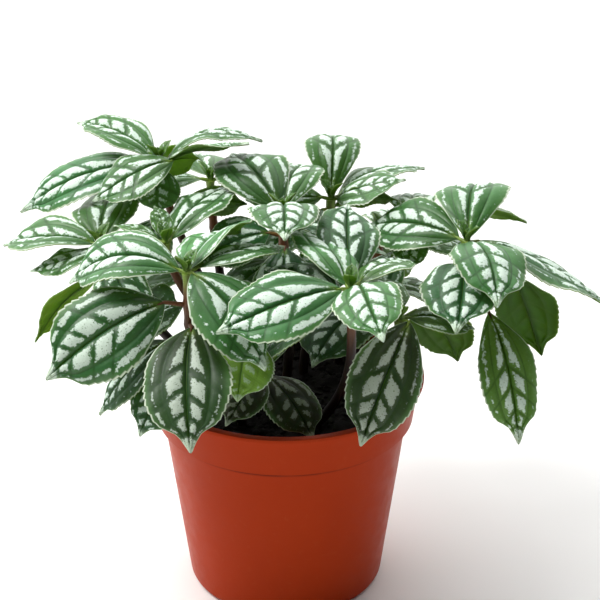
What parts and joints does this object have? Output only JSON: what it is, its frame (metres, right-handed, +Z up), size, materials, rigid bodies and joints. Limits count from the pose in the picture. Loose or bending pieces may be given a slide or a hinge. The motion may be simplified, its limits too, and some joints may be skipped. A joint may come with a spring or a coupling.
{
  "type": "potted aluminum plant",
  "caption": "Bushy houseplant with silver-patched toothed leaves on upright stems, growing in peat in a thin round terracotta-coloured nursery pot.",
  "frame": {"origin": "centre of the pot's foot, on the surface it stands on", "axes": "+Z up along the pot's axis, -Y towards the plant's front, the side that the picture shows, +X to its right, along the widest spread of the leaves"},
  "size_m": [0.2544, 0.1924, 0.1954],
  "materials": {
    "pot_plastic": "satin",
    "potting_soil": "matte",
    "leaf": "satin"
  },
  "bodies": {
    "root": {"pot": "pot_plastic", "soil": "potting_soil", "stem_front_left": "leaf", "stem_front_right": "leaf", "stem_right": "leaf", "stem_left": "leaf", "stem_back_left": "leaf", "stem_middle": "leaf", "stem_back": "leaf", "stem_back_right": "leaf", "stem_low_right": "leaf", "stem_centre_left": "leaf", "stem_low_front": "leaf", "stem_rear_left": "leaf", "stem_rear_right": "leaf"}
  },
  "joints": []
}
